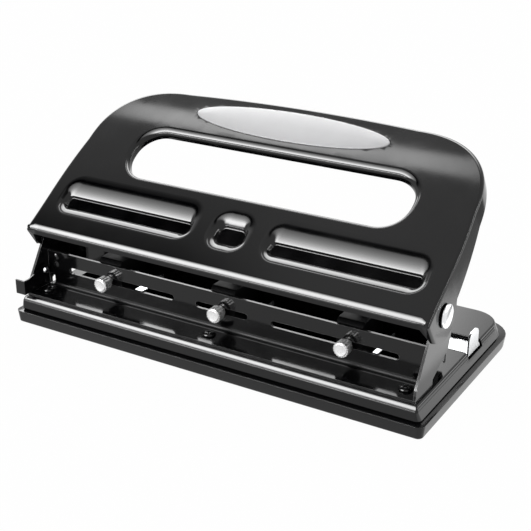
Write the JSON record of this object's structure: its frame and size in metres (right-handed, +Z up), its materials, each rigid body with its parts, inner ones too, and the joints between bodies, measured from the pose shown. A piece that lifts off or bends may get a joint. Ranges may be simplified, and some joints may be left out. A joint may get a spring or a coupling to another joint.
{
  "type": "three-hole punch",
  "caption": "Desk paper punch: a wide hinged lever pushes sprung pins in sliding heads clamped by thumbscrews, over a long base with a paper guide and chip tray.",
  "frame": {"origin": "centre of the base, on the surface it stands on", "axes": "+X along the machine towards the paper guide's end, +Y towards the side where paper goes in, +Z up"},
  "size_m": [0.3646, 0.184, 0.1718],
  "materials": {
    "black_steel": "gloss black enamel",
    "black_plastic": "moulded, semi-gloss",
    "chrome": "bright",
    "plated_steel": "bright zinc plate",
    "pale_plastic": "satin pale grey",
    "spring_steel": "bare spring wire"
  },
  "bodies": {
    "base": {"chip_tray": "black_plastic", "base_cover": "black_steel", "guide_trough": "black_steel", "frame": "black_steel", "foot_screw_left": "black_steel", "foot_screw_middle": "black_steel", "foot_screw_right": "black_steel", "plate_rivet": "black_steel", "latch_rivet": "plated_steel", "lever_spring_left": "spring_steel", "lever_spring_right": "spring_steel"},
    "lever_arm": {"lever": "black_steel", "press_bar": "black_steel", "grip_inlay": "pale_plastic", "pivot_pin_left": "chrome", "pivot_pin_right": "chrome"},
    "head_left": {"punch_head_left": "black_steel", "pin_spring_left": "spring_steel"},
    "head_middle": {"punch_head_middle": "black_steel", "pin_spring_middle": "spring_steel"},
    "head_right": {"punch_head_right": "black_steel", "pin_spring_right": "spring_steel"},
    "pin_left": {"punch_pin_left": "plated_steel"},
    "pin_middle": {"punch_pin_middle": "plated_steel"},
    "pin_right": {"punch_pin_right": "plated_steel"},
    "screw_left": {"thumbscrew_left": "chrome"},
    "screw_middle": {"thumbscrew_middle": "chrome"},
    "screw_right": {"thumbscrew_right": "chrome"},
    "guide": {"paper_guide": "plated_steel"},
    "latch_plate": {"latch": "black_steel"}
  },
  "joints": [
    {"name": "lever_hinge", "type": "hinge", "parent": "base", "child": "lever_arm", "pos_m": [0, -0.049, 0.076], "axis": [-1, 0, 0], "range_deg": [0, 28], "stiffness_Nm_per_rad": 1.8, "springref_deg": -28.65, "deforming": ["lever_spring_left", "lever_spring_right"]},
    {"name": "head_slide_left", "type": "slide", "parent": "base", "child": "head_left", "axis": [1, 0, 0], "range_m": [-0.0375, 0.061]},
    {"name": "head_slide_middle", "type": "slide", "parent": "base", "child": "head_middle", "axis": [1, 0, 0], "range_m": [-0.0208, 0.0208]},
    {"name": "head_slide_right", "type": "slide", "parent": "base", "child": "head_right", "axis": [1, 0, 0], "range_m": [-0.061, 0.0375]},
    {"name": "pin_slide_left", "type": "slide", "parent": "head_left", "child": "pin_left", "axis": [0, 0, -1], "range_m": [0, 0.0085], "deforming": ["pin_spring_left"]},
    {"name": "pin_slide_middle", "type": "slide", "parent": "head_middle", "child": "pin_middle", "axis": [0, 0, -1], "range_m": [0, 0.0085], "deforming": ["pin_spring_middle"]},
    {"name": "pin_slide_right", "type": "slide", "parent": "head_right", "child": "pin_right", "axis": [0, 0, -1], "range_m": [0, 0.0085], "deforming": ["pin_spring_right"]},
    {"name": "screw_turn_left", "type": "hinge", "parent": "head_left", "child": "screw_left", "pos_m": [-0.108, -0.0593, 0.041], "axis": [0, -1, 0], "range_deg": [0, 360]},
    {"name": "screw_turn_middle", "type": "hinge", "parent": "head_middle", "child": "screw_middle", "pos_m": [0, -0.0593, 0.041], "axis": [0, -1, 0], "range_deg": [0, 360]},
    {"name": "screw_turn_right", "type": "hinge", "parent": "head_right", "child": "screw_right", "pos_m": [0.108, -0.0593, 0.041], "axis": [0, -1, 0], "range_deg": [0, 360]},
    {"name": "guide_slide", "type": "slide", "parent": "base", "child": "guide", "axis": [1, 0, 0], "range_m": [-0.015, 0.06]},
    {"name": "latch_hinge", "type": "hinge", "parent": "base", "child": "latch_plate", "pos_m": [-0.17, -0.0655, 0.0392], "axis": [-1, 0, 0], "range_deg": [0, 40]}
  ],
  "couplings": [
    {"joint": "pin_slide_left", "follows": "lever_hinge", "m_per_rad": 0.0163},
    {"joint": "pin_slide_middle", "follows": "lever_hinge", "m_per_rad": 0.0163},
    {"joint": "pin_slide_right", "follows": "lever_hinge", "m_per_rad": 0.0163}
  ]
}
